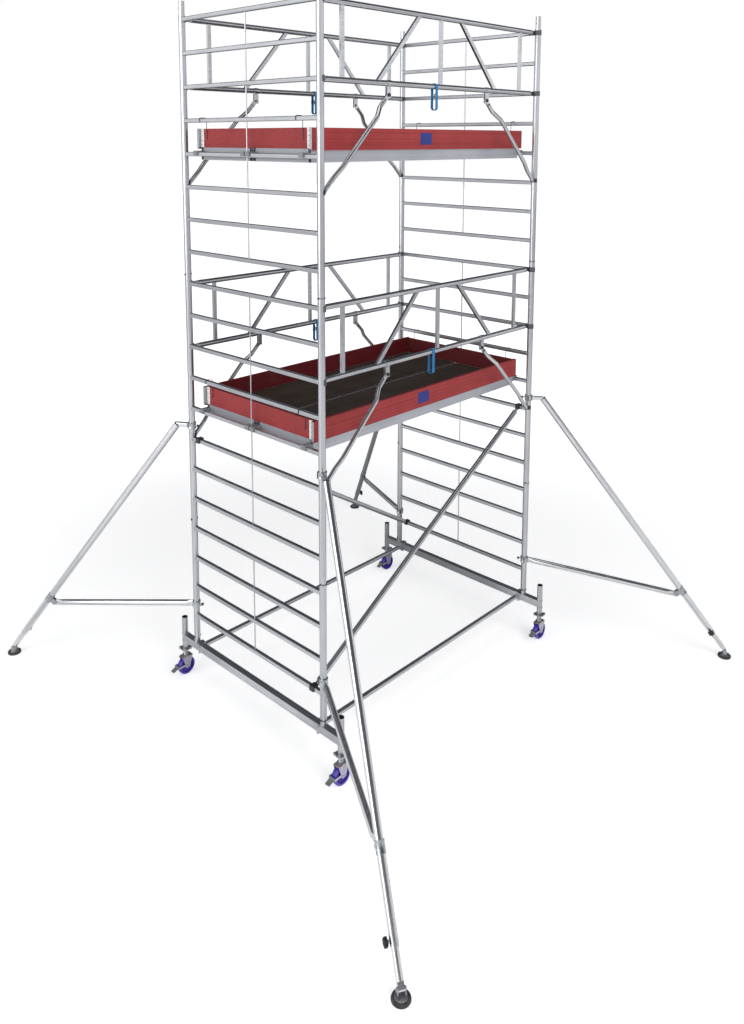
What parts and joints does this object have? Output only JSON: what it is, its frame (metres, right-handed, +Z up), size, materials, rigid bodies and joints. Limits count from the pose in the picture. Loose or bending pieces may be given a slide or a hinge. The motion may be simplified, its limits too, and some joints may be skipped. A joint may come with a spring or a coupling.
{
  "type": "mobile tower scaffold",
  "caption": "Rolling aluminium tower scaffold with ladder end frames, two guarded working decks, outriggers and adjustable braked castors.",
  "frame": {"origin": "on the ground at the middle of the tower's plan", "axes": "+Z up; X along the decks; Y across the end frames"},
  "size_m": [4.348, 4.632, 5.48],
  "materials": {
    "aluminium_tube": "mill-finish tube with faint drawing lines",
    "platform_aluminium": "satin extrusion",
    "deck_plywood": "phenolic film faced plywood, dark brown",
    "toe_board_red": "red film faced plywood",
    "zinc_steel": "bright zinc plated",
    "castor_steel": "passivated pressed steel",
    "castor_blue": "moulded blue polyamide",
    "pedal_grey": "grey coated",
    "rubber_black": "matte moulded",
    "strap_blue": "woven webbing"
  },
  "bodies": {
    "tower": {"frame_bottom_left": "aluminium_tube", "frame_bottom_right": "aluminium_tube", "frame_middle_left": "aluminium_tube", "frame_middle_right": "aluminium_tube", "frame_top_left": "aluminium_tube", "frame_top_right": "aluminium_tube", "base_beam_left": "aluminium_tube", "base_beam_right": "aluminium_tube", "base_rails": "aluminium_tube", "diagonal_braces": "aluminium_tube", "retaining_clips": "zinc_steel", "castor_nuts": "zinc_steel", "platform_lower_near": "platform_aluminium", "guard_frame_lower_near": "aluminium_tube", "platform_lower_far": "platform_aluminium", "guard_frame_lower_far": "aluminium_tube", "toe_boards_lower": "toe_board_red", "platform_upper_near": "platform_aluminium", "guard_frame_upper_near": "aluminium_tube", "platform_upper_far": "platform_aluminium", "guard_frame_upper_far": "aluminium_tube", "toe_boards_upper": "toe_board_red", "deck_boards": "deck_plywood", "guard_straps": "strap_blue"},
    "guard_strut_lower_near_left": {"guard_strut_lower_near_left": "zinc_steel"},
    "guard_strut_lower_near_right": {"guard_strut_lower_near_right": "zinc_steel"},
    "guard_strut_lower_far_left": {"guard_strut_lower_far_left": "zinc_steel"},
    "guard_strut_lower_far_right": {"guard_strut_lower_far_right": "zinc_steel"},
    "guard_strut_upper_near_left": {"guard_strut_upper_near_left": "zinc_steel"},
    "guard_strut_upper_near_right": {"guard_strut_upper_near_right": "zinc_steel"},
    "guard_strut_upper_far_left": {"guard_strut_upper_far_left": "zinc_steel"},
    "guard_strut_upper_far_right": {"guard_strut_upper_far_right": "zinc_steel"},
    "castor_spindle_near_left": {"castor_spindle_near_left": "zinc_steel"},
    "castor_fork_near_left": {"castor_fork_near_left": "castor_steel"},
    "castor_wheel_near_left": {"castor_wheel_near_left": "castor_blue"},
    "castor_pedal_near_left": {"castor_pedal_near_left": "pedal_grey"},
    "outrigger_near_left": {"outrigger_near_left": "aluminium_tube"},
    "outrigger_foot_tube_near_left": {"outrigger_foot_tube_near_left": "aluminium_tube"},
    "outrigger_foot_near_left": {"outrigger_foot_near_left": "rubber_black"},
    "castor_spindle_far_left": {"castor_spindle_far_left": "zinc_steel"},
    "castor_fork_far_left": {"castor_fork_far_left": "castor_steel"},
    "castor_wheel_far_left": {"castor_wheel_far_left": "castor_blue"},
    "castor_pedal_far_left": {"castor_pedal_far_left": "pedal_grey"},
    "outrigger_far_left": {"outrigger_far_left": "aluminium_tube"},
    "outrigger_foot_tube_far_left": {"outrigger_foot_tube_far_left": "aluminium_tube"},
    "outrigger_foot_far_left": {"outrigger_foot_far_left": "rubber_black"},
    "castor_spindle_near_right": {"castor_spindle_near_right": "zinc_steel"},
    "castor_fork_near_right": {"castor_fork_near_right": "castor_steel"},
    "castor_wheel_near_right": {"castor_wheel_near_right": "castor_blue"},
    "castor_pedal_near_right": {"castor_pedal_near_right": "pedal_grey"},
    "outrigger_near_right": {"outrigger_near_right": "aluminium_tube"},
    "outrigger_foot_tube_near_right": {"outrigger_foot_tube_near_right": "aluminium_tube"},
    "outrigger_foot_near_right": {"outrigger_foot_near_right": "rubber_black"},
    "castor_spindle_far_right": {"castor_spindle_far_right": "zinc_steel"},
    "castor_fork_far_right": {"castor_fork_far_right": "castor_steel"},
    "castor_wheel_far_right": {"castor_wheel_far_right": "castor_blue"},
    "castor_pedal_far_right": {"castor_pedal_far_right": "pedal_grey"},
    "outrigger_far_right": {"outrigger_far_right": "aluminium_tube"},
    "outrigger_foot_tube_far_right": {"outrigger_foot_tube_far_right": "aluminium_tube"},
    "outrigger_foot_far_right": {"outrigger_foot_far_right": "rubber_black"}
  },
  "joints": [
    {"name": "guard_strut_lower_near_left_hinge", "type": "hinge", "parent": "tower", "child": "guard_strut_lower_near_left", "pos_m": [-0.575, -0.727, 2.765], "axis": [0, -1, 0], "range_deg": [0, 70]},
    {"name": "guard_strut_lower_near_right_hinge", "type": "hinge", "parent": "tower", "child": "guard_strut_lower_near_right", "pos_m": [0.575, -0.727, 2.765], "axis": [0, 1, 0], "range_deg": [0, 70]},
    {"name": "guard_strut_lower_far_left_hinge", "type": "hinge", "parent": "tower", "child": "guard_strut_lower_far_left", "pos_m": [-0.575, 0.727, 2.765], "axis": [0, -1, 0], "range_deg": [0, 70]},
    {"name": "guard_strut_lower_far_right_hinge", "type": "hinge", "parent": "tower", "child": "guard_strut_lower_far_right", "pos_m": [0.575, 0.727, 2.765], "axis": [0, 1, 0], "range_deg": [0, 70]},
    {"name": "guard_strut_upper_near_left_hinge", "type": "hinge", "parent": "tower", "child": "guard_strut_upper_near_left", "pos_m": [-0.575, -0.727, 4.765], "axis": [0, -1, 0], "range_deg": [0, 70]},
    {"name": "guard_strut_upper_near_right_hinge", "type": "hinge", "parent": "tower", "child": "guard_strut_upper_near_right", "pos_m": [0.575, -0.727, 4.765], "axis": [0, 1, 0], "range_deg": [0, 70]},
    {"name": "guard_strut_upper_far_left_hinge", "type": "hinge", "parent": "tower", "child": "guard_strut_upper_far_left", "pos_m": [-0.575, 0.727, 4.765], "axis": [0, -1, 0], "range_deg": [0, 70]},
    {"name": "guard_strut_upper_far_right_hinge", "type": "hinge", "parent": "tower", "child": "guard_strut_upper_far_right", "pos_m": [0.575, 0.727, 4.765], "axis": [0, 1, 0], "range_deg": [0, 70]},
    {"name": "castor_spindle_near_left_screw", "type": "slide", "parent": "tower", "child": "castor_spindle_near_left", "axis": [0, 0, -1], "range_m": [0, 0.15]},
    {"name": "castor_fork_near_left_swivel", "type": "hinge", "parent": "castor_spindle_near_left", "child": "castor_fork_near_left", "pos_m": [-1.25, -0.93, 0.16], "axis": [0, 0, 1], "continuous": true},
    {"name": "castor_wheel_near_left_spin", "type": "hinge", "parent": "castor_fork_near_left", "child": "castor_wheel_near_left", "pos_m": [-1.25, -0.93, 0.075], "axis": [0, 1, 0], "continuous": true},
    {"name": "castor_pedal_near_left_press", "type": "hinge", "parent": "castor_fork_near_left", "child": "castor_pedal_near_left", "pos_m": [-1.33516, -0.93, 0.08697], "axis": [0, -1, 0], "range_deg": [0, 15]},
    {"name": "outrigger_near_left_swing", "type": "hinge", "parent": "tower", "child": "outrigger_near_left", "pos_m": [-1.25, -0.755, 0], "axis": [0, 0, 1], "range_deg": [-45, 60]},
    {"name": "outrigger_foot_tube_near_left_slide", "type": "slide", "parent": "outrigger_near_left", "child": "outrigger_foot_tube_near_left", "axis": [-0.3011, -0.5218, -0.7982], "range_m": [-0.15, 0.3]},
    {"name": "outrigger_foot_near_left_tilt", "type": "hinge", "parent": "outrigger_foot_tube_near_left", "child": "outrigger_foot_near_left", "pos_m": [-2.119, -2.261, 0.062], "axis": [0.8661, -0.4998, 0], "range_deg": [-25, 25]},
    {"name": "castor_spindle_far_left_screw", "type": "slide", "parent": "tower", "child": "castor_spindle_far_left", "axis": [0, 0, -1], "range_m": [0, 0.15]},
    {"name": "castor_fork_far_left_swivel", "type": "hinge", "parent": "castor_spindle_far_left", "child": "castor_fork_far_left", "pos_m": [-1.25, 0.93, 0.16], "axis": [0, 0, 1], "continuous": true},
    {"name": "castor_wheel_far_left_spin", "type": "hinge", "parent": "castor_fork_far_left", "child": "castor_wheel_far_left", "pos_m": [-1.25, 0.93, 0.075], "axis": [0, 1, 0], "continuous": true},
    {"name": "castor_pedal_far_left_press", "type": "hinge", "parent": "castor_fork_far_left", "child": "castor_pedal_far_left", "pos_m": [-1.33516, 0.93, 0.08697], "axis": [0, -1, 0], "range_deg": [0, 15]},
    {"name": "outrigger_far_left_swing", "type": "hinge", "parent": "tower", "child": "outrigger_far_left", "pos_m": [-1.25, 0.755, 0], "axis": [0, 0, -1], "range_deg": [-45, 60]},
    {"name": "outrigger_foot_tube_far_left_slide", "type": "slide", "parent": "outrigger_far_left", "child": "outrigger_foot_tube_far_left", "axis": [-0.3011, 0.5218, -0.7982], "range_m": [-0.15, 0.3]},
    {"name": "outrigger_foot_far_left_tilt", "type": "hinge", "parent": "outrigger_foot_tube_far_left", "child": "outrigger_foot_far_left", "pos_m": [-2.119, 2.261, 0.062], "axis": [-0.8661, -0.4998, 0], "range_deg": [-25, 25]},
    {"name": "castor_spindle_near_right_screw", "type": "slide", "parent": "tower", "child": "castor_spindle_near_right", "axis": [0, 0, -1], "range_m": [0, 0.15]},
    {"name": "castor_fork_near_right_swivel", "type": "hinge", "parent": "castor_spindle_near_right", "child": "castor_fork_near_right", "pos_m": [1.25, -0.93, 0.16], "axis": [0, 0, 1], "continuous": true},
    {"name": "castor_wheel_near_right_spin", "type": "hinge", "parent": "castor_fork_near_right", "child": "castor_wheel_near_right", "pos_m": [1.25, -0.93, 0.075], "axis": [0, 1, 0], "continuous": true},
    {"name": "castor_pedal_near_right_press", "type": "hinge", "parent": "castor_fork_near_right", "child": "castor_pedal_near_right", "pos_m": [1.16484, -0.93, 0.08697], "axis": [0, -1, 0], "range_deg": [0, 15]},
    {"name": "outrigger_near_right_swing", "type": "hinge", "parent": "tower", "child": "outrigger_near_right", "pos_m": [1.25, -0.755, 0], "axis": [0, 0, -1], "range_deg": [-45, 60]},
    {"name": "outrigger_foot_tube_near_right_slide", "type": "slide", "parent": "outrigger_near_right", "child": "outrigger_foot_tube_near_right", "axis": [0.3011, -0.5218, -0.7982], "range_m": [-0.15, 0.3]},
    {"name": "outrigger_foot_near_right_tilt", "type": "hinge", "parent": "outrigger_foot_tube_near_right", "child": "outrigger_foot_near_right", "pos_m": [2.119, -2.261, 0.062], "axis": [0.8661, 0.4998, 0], "range_deg": [-25, 25]},
    {"name": "castor_spindle_far_right_screw", "type": "slide", "parent": "tower", "child": "castor_spindle_far_right", "axis": [0, 0, -1], "range_m": [0, 0.15]},
    {"name": "castor_fork_far_right_swivel", "type": "hinge", "parent": "castor_spindle_far_right", "child": "castor_fork_far_right", "pos_m": [1.25, 0.93, 0.16], "axis": [0, 0, 1], "continuous": true},
    {"name": "castor_wheel_far_right_spin", "type": "hinge", "parent": "castor_fork_far_right", "child": "castor_wheel_far_right", "pos_m": [1.25, 0.93, 0.075], "axis": [0, 1, 0], "continuous": true},
    {"name": "castor_pedal_far_right_press", "type": "hinge", "parent": "castor_fork_far_right", "child": "castor_pedal_far_right", "pos_m": [1.16484, 0.93, 0.08697], "axis": [0, -1, 0], "range_deg": [0, 15]},
    {"name": "outrigger_far_right_swing", "type": "hinge", "parent": "tower", "child": "outrigger_far_right", "pos_m": [1.25, 0.755, 0], "axis": [0, 0, 1], "range_deg": [-45, 60]},
    {"name": "outrigger_foot_tube_far_right_slide", "type": "slide", "parent": "outrigger_far_right", "child": "outrigger_foot_tube_far_right", "axis": [0.3011, 0.5218, -0.7982], "range_m": [-0.15, 0.3]},
    {"name": "outrigger_foot_far_right_tilt", "type": "hinge", "parent": "outrigger_foot_tube_far_right", "child": "outrigger_foot_far_right", "pos_m": [2.119, 2.261, 0.062], "axis": [-0.8661, 0.4998, 0], "range_deg": [-25, 25]}
  ]
}
